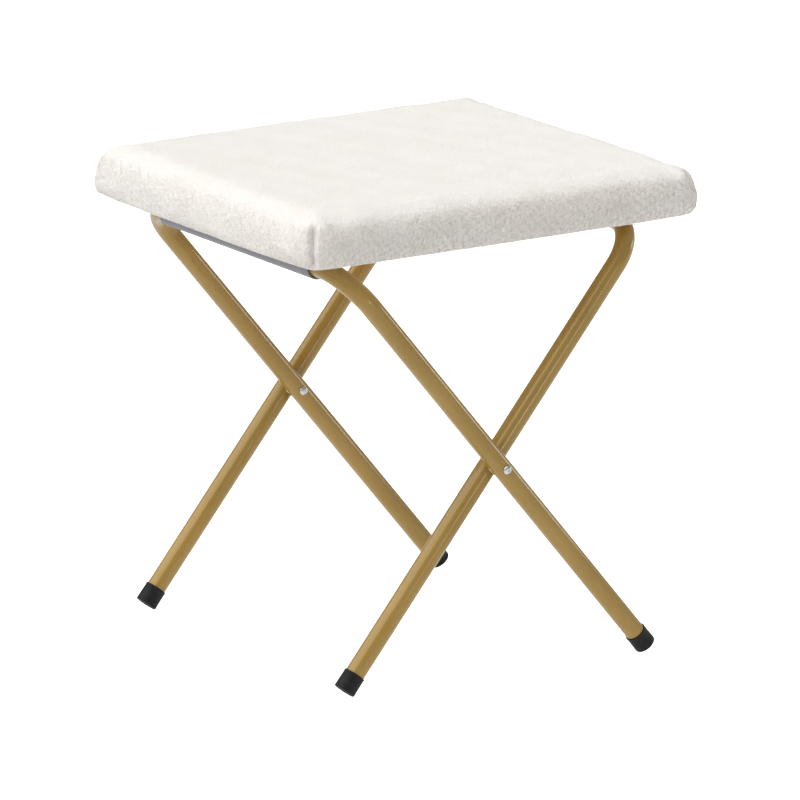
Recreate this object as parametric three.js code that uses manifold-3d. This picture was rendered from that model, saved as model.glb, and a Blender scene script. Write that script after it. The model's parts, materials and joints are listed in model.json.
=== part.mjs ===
// A folding bench: two bent-tube frames cross like scissors under a padded seat in a fleece cover.
//
// One frame's top bar turns in a long channel under the seat's -X end. The other frame's top bar
// sits in two snap clips under the +X end, and slides out along the underside as the bench folds flat.
//
// Millimetres, +Z up, +X across the fold, +Y along the top bars. The origin is on the floor, under the
// centre of the seat.

import * as THREE from 'three';
import { mergeVertices } from 'three/addons/utils/BufferGeometryUtils.js';
import Module from 'manifold-3d';

const wasm = await Module();
wasm.setup();

// ---------------------------------------------------------------- driving dimensions

const GAP = 0.3; // between solids that touch on the real object

// Both tube frames
const TUBE_RADIUS = 9.5;
const TUBE_WALL = 1.2;
const LEAN = THREE.MathUtils.degToRad(39.5); // each leg's angle from the vertical
const UPPER_LENGTH = 261.3; // from the crossing to the top bar's centre line
const LOWER_LENGTH = 250.8; // from the crossing to the foot's end face
const BEND_RADIUS = 42;
const BEND_STEPS = 8;
const LEG_SPACING = 355.7; // between the two legs of one frame
const STAGGER = 21.1; // sideways shift from one frame's legs to the other's
const CROSSING_X = -4; // the crossing stands a little off the seat's centre
const TUBE_SIDES = 16;

// Foot caps
const CAP_RADIUS = 10.6;
const CAP_LENGTH = 18.5;
const CAP_FLOOR = 3; // thickness of the rubber under the tube's end

// Pivot rivets and the washers between the tubes
const RIVET_RADIUS = 3;
const RIVET_HEAD_RADIUS = 4.25;
const RIVET_HEAD_HEIGHT = 2.5;
const RIVET_TAIL_RADIUS = 4;
const RIVET_TAIL_HEIGHT = 2;
const WASHER_RADIUS = 7.5;
const WASHER_THICKNESS = 1.5;
const HOLE_PLAY = 0.4; // how much wider than its rivet or screw a hole is, on the radius

// Seat
const SEAT_LENGTH = 441; // along X
const SEAT_DEPTH = 405; // along Y
const SEAT_THICKNESS = 47.5;
const SEAT_CORNER_RADIUS = 34;
const SEAT_TOP_RADIUS = 30; // around the top edge
const SEAT_BOTTOM_RADIUS = 16; // around the bottom edge
const EDGE_STEPS = 5;
const COVER_THICKNESS = 12; // the fleece with its backing and wadding
const PAD_TOP_RADIUS = 18; // around the foam's top edge and the cavity over it
const COVER_HEM_WIDTH = 25; // how far the cover wraps under the board
const COVER_HEM_THICKNESS = 1.7;
const BOARD_THICKNESS = 9;
const SLIDE_CLEARANCE = 0.5; // from the sliding bar to the hem above it

// Hinge channel and snap clips, both bent round a top bar
const CHANNEL_LENGTH = 262;
const CHANNEL_NEAR_END = -138;
const CHANNEL_PLAY = 0.7; // on the radius, between the bar and the channel
const SHEET_THICKNESS = 1.5;
const CHANNEL_LIP_ANGLE = THREE.MathUtils.degToRad(-45);
const FLANGE_WIDTH = 30;
const CHANNEL_SCREWS = 5;
const CLIP_LENGTH = 30;
const CLIP_PLAY = 0.4;
const CLIP_THICKNESS = 1.8;
const CLIP_LIP_ANGLE = THREE.MathUtils.degToRad(-40);
const CLIP_SPACING = 160;
const CLIP_SCREW_SPACING = 16;

// Wood screws
const SCREW_RADIUS = 1.8;
const SCREW_HEAD_RADIUS = 4;
const SCREW_HEAD_HEIGHT = 2;
const SCREW_BITE = 6.5; // how far the screw reaches into the board
const SCREW_INSET = 20; // from the bar's centre line to the screws' line

// ---------------------------------------------------------------- places worked out from them

const capFlatFactor = Math.cos(Math.PI / TUBE_SIDES);
const crossingZ = LOWER_LENGTH * Math.cos(LEAN) + CAP_RADIUS * Math.sin(LEAN);
const barZ = crossingZ + UPPER_LENGTH * Math.cos(LEAN);
const barReach = UPPER_LENGTH * Math.sin(LEAN);
const hingedBarX = CROSSING_X - barReach;
const clippedBarX = CROSSING_X + barReach;
const seatBottom = barZ + TUBE_RADIUS + SLIDE_CLEARANCE;
const seatTop = seatBottom + SEAT_THICKNESS;
const boardBottom = seatBottom + COVER_HEM_THICKNESS + GAP;
const boardTop = boardBottom + BOARD_THICKNESS;
const foamBottom = boardTop + GAP;
const cavityTop = seatTop - COVER_THICKNESS;
const flangeTop = boardBottom - GAP;

// The hinged frame is shifted to -Y and the clipped frame to +Y, by half the stagger each.
const hingedShift = -STAGGER / 2;
const clippedShift = STAGGER / 2;

// ---------------------------------------------------------------- materials

const finish = (colour, roughness, metalness) =>
  new THREE.MeshStandardMaterial({ color: new THREE.Color(colour), roughness, metalness });

const goldPaint = finish('#9a7d4c', 0.3, 0.6);
const blackRubber = finish('#1d1c1b', 0.7, 0);
const polishedSteel = finish('#c3c6c9', 0.25, 1);
const greySteel = finish('#a3a5ab', 0.45, 0.4);
const zincSteel = finish('#b4b5b2', 0.4, 0.9);
const whiteNylon = finish('#d9d8d2', 0.5, 0);
const greyNylon = finish('#8e9197', 0.55, 0);
const creamFleece = finish('#f4efe8', 0.95, 0);
const paleFoam = finish('#e9e0c4', 0.9, 0);
const plywood = finish('#c9a878', 0.7, 0);

// ---------------------------------------------------------------- shared makers

function toSolid(geometry) {
  const bare = geometry.clone();
  bare.deleteAttribute('normal');
  bare.deleteAttribute('uv');
  const merged = mergeVertices(bare, 1e-4);
  const mesh = new wasm.Mesh({
    numProp: 3,
    vertProperties: Float32Array.from(merged.attributes.position.array),
    triVerts: Uint32Array.from(merged.index.array),
  });
  return new wasm.Manifold(mesh);
}

function toGeometry(solid) {
  const mesh = solid.getMesh();
  const geometry = new THREE.BufferGeometry();
  geometry.setAttribute('position', new THREE.BufferAttribute(mesh.vertProperties, 3));
  geometry.setIndex(new THREE.BufferAttribute(mesh.triVerts, 1));
  return geometry;
}

function cut(geometry, tools) {
  return toGeometry(tools.reduce((solid, tool) => solid.subtract(toSolid(tool)), toSolid(geometry)));
}

function part(name, geometry, material) {
  const mesh = new THREE.Mesh(geometry, material);
  mesh.name = name;
  return mesh;
}

// A turned piece: its profile is (radius, height) points, and its axis is +Z.
function turned(profile, segments) {
  const points = profile.map(([radius, height]) => new THREE.Vector2(radius, height));
  const geometry = new THREE.LatheGeometry(points, segments, Math.PI / segments);
  return geometry.rotateX(Math.PI / 2);
}

// A quarter of a circle's worth of profile points for a domed head, from its rim to its pole.
function dome(rimRadius, baseHeight, height, steps) {
  return Array.from({ length: steps + 1 }, (_, i) => {
    const angle = (i / steps) * (Math.PI / 2);
    const radius = i === steps ? 0 : rimRadius * Math.cos(angle);
    return [radius, baseHeight + height * Math.sin(angle)];
  });
}

function roundedRectangle(length, depth, radius) {
  const x = length / 2;
  const y = depth / 2;
  const shape = new THREE.Shape();
  shape.moveTo(-x + radius, -y);
  shape.lineTo(x - radius, -y);
  shape.absarc(x - radius, -y + radius, radius, -Math.PI / 2, 0);
  shape.lineTo(x, y - radius);
  shape.absarc(x - radius, y - radius, radius, 0, Math.PI / 2);
  shape.lineTo(-x + radius, y);
  shape.absarc(-x + radius, y - radius, radius, Math.PI / 2, Math.PI);
  shape.lineTo(-x, -y + radius);
  shape.absarc(-x + radius, -y + radius, radius, Math.PI, Math.PI * 1.5);
  return shape;
}

// A flat slab with upright sides, from bottom to top.
function slab(length, depth, radius, bottom, top) {
  const geometry = new THREE.ExtrudeGeometry(roundedRectangle(length, depth, radius), {
    depth: top - bottom,
    bevelEnabled: false,
    curveSegments: 3,
  });
  return geometry.translate(0, 0, bottom);
}

// The stations round one edge of a pillow: how far each is inset, and its height.
function edgeStations(radius, level, upward) {
  return Array.from({ length: EDGE_STEPS + 1 }, (_, i) => {
    const angle = (i / EDGE_STEPS) * (Math.PI / 2);
    return [radius * (1 - Math.cos(angle)), level + upward * radius * Math.sin(angle)];
  });
}

// A slab with rounded edges, lofted through level outlines. A bottom radius of 0 leaves that edge sharp.
function pillow(length, depth, cornerRadius, bottomRadius, topRadius, bottom, top) {
  const lower = bottomRadius > 0
    ? edgeStations(bottomRadius, bottom + bottomRadius, -1).reverse()
    : [[0, bottom]];
  const stations = [...lower, ...edgeStations(topRadius, top - topRadius, 1)];
  const rings = stations.map(([inset, z]) =>
    roundedRectangle(length - 2 * inset, depth - 2 * inset, cornerRadius - inset)
      .getPoints(EDGE_STEPS)
      .slice(0, -1)
      .map((point) => [point.x, point.y, z]),
  );
  const count = rings[0].length;
  const points = [...rings.flat(), [0, 0, bottom], [0, 0, top]];
  const last = (rings.length - 1) * count;
  const triangles = [];
  for (let j = 0; j < count; j += 1) {
    const next = (j + 1) % count;
    for (let start = 0; start < last; start += count) {
      const above = start + count;
      triangles.push(start + j, start + next, above + next, start + j, above + next, above + j);
    }
    triangles.push(points.length - 2, next, j, points.length - 1, last + j, last + next);
  }
  const geometry = new THREE.BufferGeometry();
  geometry.setAttribute('position', new THREE.Float32BufferAttribute(points.flat(), 3));
  geometry.setIndex(triangles);
  return geometry;
}

// A profile in the XZ plane about a top bar's centre line, drawn out along Y from its near end.
function alongBar(shape, length, nearEnd) {
  const geometry = new THREE.ExtrudeGeometry(shape, {
    depth: length,
    bevelEnabled: false,
    curveSegments: 10,
  });
  return geometry.rotateX(Math.PI / 2).translate(0, nearEnd + length, 0);
}

// ---------------------------------------------------------------- tube frames

// A path through stations, where every station is one step and the steps aren't evened out.
class StationPath extends THREE.Curve {
  constructor(stations) {
    super();
    this.stations = stations;
  }

  get steps() {
    return this.stations.length - 1;
  }

  getPoint(t, target = new THREE.Vector3()) {
    const place = Math.min(Math.max(t, 0), 1) * this.steps;
    const first = Math.min(Math.floor(place), this.steps - 1);
    return target.lerpVectors(this.stations[first], this.stations[first + 1], place - first);
  }

  getUtoTmapping(u) {
    return u;
  }
}

// One frame's centre line in its own plane: up one leg, round both bends and down the other leg.
// +Z runs up the legs, and the crossing is at height 0.
function framePath(shift) {
  const near = shift - LEG_SPACING / 2;
  const far = shift + LEG_SPACING / 2;
  const tubeEnd = -LOWER_LENGTH + CAP_FLOOR + GAP;
  const bendZ = UPPER_LENGTH - BEND_RADIUS;
  const stations = [new THREE.Vector3(0, near, tubeEnd)];
  const addBend = (centreY, startAngle) => {
    for (let i = 0; i <= BEND_STEPS; i += 1) {
      const angle = startAngle - (i / BEND_STEPS) * (Math.PI / 2);
      const y = centreY + BEND_RADIUS * Math.cos(angle);
      stations.push(new THREE.Vector3(0, y, bendZ + BEND_RADIUS * Math.sin(angle)));
    }
  };
  addBend(near + BEND_RADIUS, Math.PI);
  addBend(far - BEND_RADIUS, Math.PI / 2);
  stations.push(new THREE.Vector3(0, far, tubeEnd));
  return new StationPath(stations);
}

function legTube(shift) {
  const section = new THREE.Shape().absarc(0, 0, TUBE_RADIUS, 0, Math.PI * 2);
  section.holes.push(new THREE.Path().absarc(0, 0, TUBE_RADIUS - TUBE_WALL, 0, Math.PI * 2));
  const path = framePath(shift);
  const pipe = new THREE.ExtrudeGeometry(section, {
    steps: path.steps,
    extrudePath: path,
    curveSegments: TUBE_SIDES / 2,
  });
  const pivotDrill = new THREE.CylinderGeometry(
    RIVET_RADIUS + HOLE_PLAY,
    RIVET_RADIUS + HOLE_PLAY,
    LEG_SPACING + 4 * TUBE_RADIUS,
    12,
  ).translate(0, shift, 0);
  return cut(pipe, [pivotDrill]);
}

function footCap() {
  const outer = CAP_RADIUS / capFlatFactor;
  const inner = (TUBE_RADIUS + GAP) / capFlatFactor;
  const profile = [
    [0, 0],
    [outer, 0],
    [outer, CAP_LENGTH],
    [inner, CAP_LENGTH],
    [inner, CAP_FLOOR],
    [0, CAP_FLOOR],
  ];
  return turned(profile, TUBE_SIDES).translate(0, 0, -LOWER_LENGTH);
}

// A rivet through one crossing, along Y: its domed head faces -Y and its tail faces +Y.
function pivotRivet() {
  const grip = (STAGGER + 2 * TUBE_RADIUS) / 2 + GAP;
  const head = dome(RIVET_HEAD_RADIUS, grip, RIVET_HEAD_HEIGHT, 4);
  const tail = dome(RIVET_TAIL_RADIUS, grip, RIVET_TAIL_HEIGHT, 3);
  const profile = [
    ...tail.map(([radius, height]) => [radius, -height]).reverse(),
    [RIVET_RADIUS, -grip],
    [RIVET_RADIUS, grip],
    ...head,
  ];
  return turned(profile, 12).rotateX(Math.PI / 2);
}

function pivotWasher() {
  const inner = RIVET_RADIUS + HOLE_PLAY;
  const half = WASHER_THICKNESS / 2;
  const profile = [
    [inner, -half],
    [WASHER_RADIUS, -half],
    [WASHER_RADIUS, half],
    [inner, half],
    [inner, -half],
  ];
  return turned(profile, 16).rotateX(Math.PI / 2);
}

function frame(name, shift, lean) {
  const group = new THREE.Group();
  group.position.set(CROSSING_X, 0, crossingZ);
  group.rotation.y = lean;
  group.add(part(`${name}_leg_tube`, legTube(shift), goldPaint));
  for (const [side, sign] of [['near', -1], ['far', 1]]) {
    const cap = part(`${name}_foot_cap_${side}`, footCap(), blackRubber);
    cap.position.y = shift + (sign * LEG_SPACING) / 2;
    group.add(cap);
  }
  return group;
}

const hingedFrame = frame('hinged', hingedShift, -LEAN);
const clippedFrame = frame('clipped', clippedShift, LEAN);

for (const [side, sign] of [['near', -1], ['far', 1]]) {
  const rivet = part(`pivot_rivet_${side}`, pivotRivet(), polishedSteel);
  const washer = part(`pivot_washer_${side}`, pivotWasher(), whiteNylon);
  for (const piece of [rivet, washer]) {
    piece.position.y = (sign * LEG_SPACING) / 2;
    hingedFrame.add(piece);
  }
}

// ---------------------------------------------------------------- hardware under the seat

// Places along Y, evenly spaced about a centre.
const spread = (count, spacing, centre) =>
  Array.from({ length: count }, (_, i) => centre + (i - (count - 1) / 2) * spacing);

const channelCentre = CHANNEL_NEAR_END + CHANNEL_LENGTH / 2;
const channelScrewYs = spread(CHANNEL_SCREWS, CHANNEL_LENGTH / CHANNEL_SCREWS, channelCentre);
const clipYs = spread(2, CLIP_SPACING, clippedShift);
const clipScrewOffsets = spread(2, CLIP_SCREW_SPACING, 0);

// Holes for screws at the given places on their line, reaching up by the given depth.
function screwHoles(x, ys, bottom, depth) {
  const radius = SCREW_RADIUS + HOLE_PLAY;
  return ys.map((y) =>
    new THREE.CylinderGeometry(radius, radius, depth, 10)
      .rotateX(Math.PI / 2)
      .translate(x, y, bottom + depth / 2),
  );
}

// Sheet wrapped round the -X side and the underside of the bar, with a flat flange over it to +X.
function hingeChannel() {
  const inner = TUBE_RADIUS + CHANNEL_PLAY;
  const outer = inner + SHEET_THICKNESS;
  const lipTurn = CHANNEL_LIP_ANGLE + 2 * Math.PI;
  const profile = new THREE.Shape();
  profile.moveTo(FLANGE_WIDTH, inner);
  profile.lineTo(FLANGE_WIDTH, outer);
  profile.lineTo(0, outer);
  profile.absarc(0, 0, outer, Math.PI / 2, lipTurn);
  profile.lineTo(inner * Math.cos(lipTurn), inner * Math.sin(lipTurn));
  profile.absarc(0, 0, inner, lipTurn, Math.PI / 2, true);
  const bent = alongBar(profile, CHANNEL_LENGTH, CHANNEL_NEAR_END);
  return cut(bent, screwHoles(SCREW_INSET, channelScrewYs, 0, 2 * outer));
}

// A springy clip that opens downward round the other bar, with its flange to -X.
function barClip() {
  const inner = TUBE_RADIUS + CLIP_PLAY;
  const outer = inner + CLIP_THICKNESS;
  const leftLip = Math.PI - CLIP_LIP_ANGLE;
  const profile = new THREE.Shape();
  profile.moveTo(-FLANGE_WIDTH, outer);
  profile.lineTo(-FLANGE_WIDTH, inner);
  profile.lineTo(-outer, inner);
  profile.lineTo(-outer, 0);
  profile.absarc(0, 0, outer, Math.PI, leftLip);
  profile.absarc(0, 0, inner, leftLip, CLIP_LIP_ANGLE, true);
  profile.absarc(0, 0, outer, CLIP_LIP_ANGLE, Math.PI / 2);
  const bent = alongBar(profile, CLIP_LENGTH, -CLIP_LENGTH / 2);
  return cut(bent, screwHoles(-SCREW_INSET, clipScrewOffsets, 0, 2 * outer));
}

// A pan-head wood screw, head down, whose head bears on the sheet's underside at height 0.
function woodScrew(sheetThickness) {
  const tip = sheetThickness + GAP + SCREW_BITE;
  const head = dome(SCREW_HEAD_RADIUS, GAP, SCREW_HEAD_HEIGHT, 3);
  const profile = [
    ...head.map(([radius, height]) => [radius, -height]).reverse(),
    [SCREW_RADIUS, -GAP],
    [SCREW_RADIUS, tip - SCREW_RADIUS],
    [0, tip],
  ];
  return turned(profile, 10);
}

const hardware = new THREE.Group();

const channel = part('hinge_channel', hingeChannel(), greySteel);
channel.position.set(hingedBarX, 0, barZ);
hardware.add(channel);

channelScrewYs.forEach((y, i) => {
  const screw = part(`channel_screw_${i + 1}`, woodScrew(SHEET_THICKNESS), zincSteel);
  screw.position.set(hingedBarX + SCREW_INSET, y, flangeTop - SHEET_THICKNESS);
  hardware.add(screw);
});

clipYs.forEach((clipY, i) => {
  const side = ['near', 'far'][i];
  const clip = part(`bar_clip_${side}`, barClip(), greyNylon);
  clip.position.set(clippedBarX, clipY, barZ);
  hardware.add(clip);
  clipScrewOffsets.forEach((offset, j) => {
    const screw = part(`clip_screw_${side}_${j + 1}`, woodScrew(CLIP_THICKNESS), zincSteel);
    screw.position.set(clippedBarX - SCREW_INSET, clipY + offset, flangeTop - CLIP_THICKNESS);
    hardware.add(screw);
  });
});

// ---------------------------------------------------------------- seat

const cavityLength = SEAT_LENGTH - 2 * COVER_THICKNESS;
const cavityDepth = SEAT_DEPTH - 2 * COVER_THICKNESS;
const cavityRadius = SEAT_CORNER_RADIUS - COVER_THICKNESS;
const innerLength = cavityLength - 2 * GAP;
const innerDepth = cavityDepth - 2 * GAP;

function seatBoard() {
  const board = slab(innerLength, innerDepth, cavityRadius, boardBottom, boardTop);
  const clipScrewYs = clipYs.flatMap((y) => clipScrewOffsets.map((offset) => y + offset));
  const pilotDepth = SCREW_BITE + 2 * GAP;
  return cut(board, [
    ...screwHoles(hingedBarX + SCREW_INSET, channelScrewYs, boardBottom - GAP, pilotDepth + GAP),
    ...screwHoles(clippedBarX - SCREW_INSET, clipScrewYs, boardBottom - GAP, pilotDepth + GAP),
  ]);
}

// The cover is a pillow of fleece over the board and foam, open underneath inside its hem.
function fleeceCover() {
  const outer = pillow(
    SEAT_LENGTH,
    SEAT_DEPTH,
    SEAT_CORNER_RADIUS,
    SEAT_BOTTOM_RADIUS,
    SEAT_TOP_RADIUS,
    seatBottom,
    seatTop,
  );
  const cavityBottom = seatBottom + COVER_HEM_THICKNESS;
  const cavity = pillow(
    cavityLength,
    cavityDepth,
    cavityRadius,
    0,
    PAD_TOP_RADIUS,
    cavityBottom,
    cavityTop,
  );
  const hem = 2 * (COVER_THICKNESS + COVER_HEM_WIDTH);
  const windowDepth = SEAT_DEPTH - hem;
  const openUnderside = slab(SEAT_LENGTH - hem, windowDepth, cavityRadius, seatBottom - 1, boardTop);
  return cut(outer, [cavity, openUnderside]);
}

function foamPad() {
  const top = cavityTop - GAP;
  return pillow(innerLength, innerDepth, cavityRadius, 0, PAD_TOP_RADIUS, foamBottom, top);
}

const seat = new THREE.Group();
seat.add(part('seat_board', seatBoard(), plywood));
seat.add(part('foam_pad', foamPad(), paleFoam));
seat.add(part('fleece_cover', fleeceCover(), creamFleece));

const bench = new THREE.Group();
bench.add(seat, hardware, hingedFrame, clippedFrame);

export default bench;
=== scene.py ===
"""The looks of a folding bench: a fleece-covered seat on two crossed frames of bronze-gold tube.

Lengths are in metres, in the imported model's frame: +Z up, +X across the fold, +Y along the top bars.
"""

import json
import math

import bmesh
import bpy
import numpy as np
from mathutils import Matrix, Vector


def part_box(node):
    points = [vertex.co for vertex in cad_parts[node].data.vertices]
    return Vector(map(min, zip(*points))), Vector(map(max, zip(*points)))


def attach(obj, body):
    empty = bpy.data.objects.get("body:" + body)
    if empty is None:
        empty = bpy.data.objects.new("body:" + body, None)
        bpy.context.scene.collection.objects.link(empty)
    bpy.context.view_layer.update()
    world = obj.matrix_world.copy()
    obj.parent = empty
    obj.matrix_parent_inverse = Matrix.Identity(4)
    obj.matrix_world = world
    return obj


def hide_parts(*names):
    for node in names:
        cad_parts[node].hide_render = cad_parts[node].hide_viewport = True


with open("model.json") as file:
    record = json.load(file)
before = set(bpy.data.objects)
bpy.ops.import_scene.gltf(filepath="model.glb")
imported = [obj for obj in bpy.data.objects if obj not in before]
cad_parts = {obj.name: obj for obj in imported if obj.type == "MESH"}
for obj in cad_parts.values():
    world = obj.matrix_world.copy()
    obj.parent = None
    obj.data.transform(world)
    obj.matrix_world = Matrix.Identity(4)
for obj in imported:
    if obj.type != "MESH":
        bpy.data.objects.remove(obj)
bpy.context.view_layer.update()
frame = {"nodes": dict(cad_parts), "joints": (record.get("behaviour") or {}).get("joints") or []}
MM = 0.001
scene = bpy.context.scene

# ---------------------------------------------------------------- driving sizes

TUBE_RADIUS = 9.5 * MM
BEND_RADIUS = 42 * MM
CAP_FLOOR = 3 * MM

CAMERA_AZIMUTH = math.radians(-32.337)
CAMERA_ELEVATION = math.radians(14.28)
CAMERA_ROLL = math.radians(-0.28)
CAMERA_DISTANCE = 8.056
AIM_HEIGHT = 198.6 * MM
AIM_RIGHT, AIM_UP = 7.45 * MM, 25.15 * MM
CAMERA_LENS = 386.5  # mm, on a 36 mm sensor

joints = {j["name"]: j for j in frame["joints"]}
hinged_bar = Vector(joints["leg_fold"]["pos_m"])
crossing = Vector(joints["scissor"]["pos_m"])
clipped_bar = Vector((2 * crossing.x - hinged_bar.x, 0, hinged_bar.z))
upper_length = (hinged_bar - crossing).length
up_hinged = (hinged_bar - crossing).normalized()
up_clipped = (clipped_bar - crossing).normalized()
seat_low, seat_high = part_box("fleece_cover")

# ---------------------------------------------------------------- camera


def place_camera():
    sin_az, cos_az = math.sin(CAMERA_AZIMUTH), math.cos(CAMERA_AZIMUTH)
    sin_el, cos_el = math.sin(CAMERA_ELEVATION), math.cos(CAMERA_ELEVATION)
    right = Vector((cos_az, sin_az, 0))
    back = Vector((sin_az * cos_el, -cos_az * cos_el, sin_el))
    up = back.cross(right)
    aim = Vector((crossing.x, 0, AIM_HEIGHT)) + AIM_RIGHT * right + AIM_UP * up
    turned_right = math.cos(CAMERA_ROLL) * right + math.sin(CAMERA_ROLL) * up
    turned_up = back.cross(turned_right)
    data = bpy.data.cameras.new("camera")
    data.lens = CAMERA_LENS
    data.sensor_width = 36
    data.clip_end = 100
    camera = bpy.data.objects.new("camera", data)
    place = Matrix((turned_right, turned_up, back)).transposed().to_4x4()
    place.translation = aim + CAMERA_DISTANCE * back
    camera.matrix_world = place
    scene.collection.objects.link(camera)
    scene.camera = camera


place_camera()

# ---------------------------------------------------------------- node trees


class Nodes:
    """A material's node tree, with short ways to make its nodes."""

    def __init__(self, name):
        self.material = bpy.data.materials.new(name)
        self.material.use_nodes = True
        self.tree = self.material.node_tree
        self.shader = self.tree.nodes["Principled BSDF"]
        self.place = self.make("ShaderNodeTexCoord").outputs["Object"]

    def make(self, kind, **settings):
        node = self.tree.nodes.new(kind)
        for key, value in settings.items():
            setattr(node, key, value)
        return node

    def join(self, source, target):
        self.tree.links.new(source, target)

    def stretched(self, scale):
        node = self.make("ShaderNodeMapping")
        node.inputs["Scale"].default_value = scale
        self.join(self.place, node.inputs["Vector"])
        return node.outputs["Vector"]

    def noise(self, scale, detail=2.0, roughness=0.5, place=None, distortion=0.0):
        node = self.make("ShaderNodeTexNoise")
        node.inputs["Scale"].default_value = scale
        node.inputs["Detail"].default_value = detail
        node.inputs["Roughness"].default_value = roughness
        node.inputs["Distortion"].default_value = distortion
        self.join(place or self.place, node.inputs["Vector"])
        return node.outputs["Fac"]

    def cells(self, scale, feature="F1", place=None):
        node = self.make("ShaderNodeTexVoronoi", feature=feature)
        node.inputs["Scale"].default_value = scale
        self.join(place or self.place, node.inputs["Vector"])
        return node.outputs["Distance"]

    def ramp(self, source, stops):
        node = self.make("ShaderNodeValToRGB")
        elements = node.color_ramp.elements
        for _ in range(len(stops) - 2):
            elements.new(0.5)
        for element, (position, colour) in zip(elements, stops):
            element.position = position
            element.color = (*colour, 1)
        self.join(source, node.inputs["Fac"])
        return node.outputs["Color"]

    def spread(self, source, low, high, to_low, to_high):
        node = self.make("ShaderNodeMapRange")
        for key, value in zip(("From Min", "From Max", "To Min", "To Max"), (low, high, to_low, to_high)):
            node.inputs[key].default_value = value
        self.join(source, node.inputs["Value"])
        return node.outputs["Result"]

    def sum(self, a, b, share=1.0):
        """a plus share of b."""
        node = self.make("ShaderNodeMath", operation="MULTIPLY_ADD")
        self.join(b, node.inputs[0])
        node.inputs[1].default_value = share
        self.join(a, node.inputs[2])
        return node.outputs[0]

    def mix(self, share, a, b, blend="MIX"):
        node = self.make("ShaderNodeMix", data_type="RGBA", blend_type=blend)
        for socket, value in ((node.inputs[0], share), (node.inputs[6], a), (node.inputs[7], b)):
            if isinstance(value, bpy.types.NodeSocket):
                self.join(value, socket)
            elif isinstance(value, tuple):
                socket.default_value = (*value, 1)
            else:
                socket.default_value = value
        return node.outputs[2]

    def bump(self, height, distance, strength=1.0):
        node = self.make("ShaderNodeBump")
        node.inputs["Strength"].default_value = strength
        node.inputs["Distance"].default_value = distance
        self.join(height, node.inputs["Height"])
        self.join(node.outputs["Normal"], self.shader.inputs["Normal"])

    def set(self, **values):
        for key, value in values.items():
            socket = self.shader.inputs[key.replace("_", " ")]
            if isinstance(value, bpy.types.NodeSocket):
                self.join(value, socket)
            elif isinstance(value, tuple) and len(value) == 3 and socket.type == "RGBA":
                socket.default_value = (*value, 1)
            else:
                socket.default_value = value


# ---------------------------------------------------------------- materials


def gold_paint():
    """Glossy bronze-gold paint: fine flake, faint orange peel, and light rub marks."""
    n = Nodes("gold_paint")
    flake = n.noise(2600, 1)
    cloud = n.noise(14, 3)
    tone = n.sum(cloud, flake, 0.5)
    colour = n.ramp(tone, [(0.45, (0.305, 0.187, 0.034)), (1.05, (0.380, 0.238, 0.054))])
    rubs = n.noise(90, 5, 0.7, n.stretched((1, 1, 0.25)))
    n.set(Base_Color=colour, Metallic=0.08, Specular_IOR_Level=0.12, Coat_Weight=0.75, Coat_Roughness=0.08)
    n.set(Roughness=n.spread(rubs, 0.35, 0.75, 0.27, 0.4))
    peel = n.noise(420, 2)
    n.bump(peel, 0.00002, 0.25)
    return n.material


def black_rubber():
    n = Nodes("black_rubber")
    grain = n.noise(1500, 3, 0.6)
    scuff = n.noise(160, 4, 0.7)
    dust = n.ramp(scuff, [(0.5, (0.006, 0.006, 0.007)), (0.82, (0.02, 0.019, 0.019))])
    n.set(Base_Color=dust, Roughness=n.spread(scuff, 0.3, 0.8, 0.42, 0.65), Specular_IOR_Level=0.22)
    n.bump(n.sum(grain, scuff, 0.6), 0.0002, 0.4)
    return n.material


def bright_steel(name, colour, roughness, lines):
    """Bare or zinc-plated steel with fine turned or handling lines."""
    n = Nodes(name)
    brushed = n.noise(lines, 4, 0.6, n.stretched((1, 0.08, 1)))
    tint = n.ramp(brushed, [(0.3, tuple(0.82 * c for c in colour)), (0.75, colour)])
    n.set(Base_Color=tint, Metallic=1.0)
    n.set(Roughness=n.spread(brushed, 0.3, 0.75, roughness, roughness + 0.15))
    n.bump(brushed, 0.00005, 0.35)
    return n.material


def grey_channel():
    """Satin blue-grey paint on bent sheet, a little uneven, with pale rubbed spots."""
    n = Nodes("grey_channel")
    cloud = n.noise(30, 4, 0.6)
    speck = n.noise(900, 2)
    colour = n.ramp(n.sum(cloud, speck, 0.3), [(0.45, (0.165, 0.165, 0.185)), (0.9, (0.26, 0.26, 0.285))])
    n.set(Base_Color=colour, Metallic=0.25, Roughness=n.spread(cloud, 0.3, 0.8, 0.36, 0.52))
    n.bump(speck, 0.00008, 0.4)
    return n.material


def moulded(name, colour, roughness):
    """Moulded nylon: a slight mottle and a spark-eroded grain."""
    n = Nodes(name)
    mottle = n.noise(70, 3)
    grain = n.noise(1800, 2)
    tint = n.ramp(mottle, [(0.3, tuple(0.88 * c for c in colour)), (0.8, colour)])
    n.set(Base_Color=tint, Roughness=n.spread(grain, 0.3, 0.7, roughness, roughness + 0.12))
    n.bump(grain, 0.00006, 0.5)
    return n.material


def plywood():
    """Bare plywood face: long grain along X with growth figure, pores and a few dark streaks."""
    n = Nodes("plywood")
    long_grain = n.stretched((1.2, 16, 16))
    figure = n.noise(9, 4, 0.55, long_grain, 1.2)
    fibre = n.noise(60, 3, 0.6, n.stretched((1, 22, 22)))
    pores = n.noise(240, 2, 0.5, n.stretched((1, 14, 14)))
    dark, middling, light = (0.47, 0.30, 0.155), (0.62, 0.43, 0.245), (0.70, 0.52, 0.32)
    wood = n.ramp(figure, [(0.3, dark), (0.52, middling), (0.75, light)])
    tint = n.mix(n.spread(fibre, 0.4, 0.8, 0, 0.35), wood, (0.40, 0.25, 0.13))
    streaked = n.mix(n.spread(pores, 0.62, 0.75, 0, 0.5), tint, (0.25, 0.15, 0.08))
    n.set(Base_Color=streaked, Roughness=n.spread(fibre, 0.3, 0.8, 0.6, 0.8))
    n.bump(n.sum(fibre, pores, -0.6), 0.0004, 0.5)
    return n.material


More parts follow.
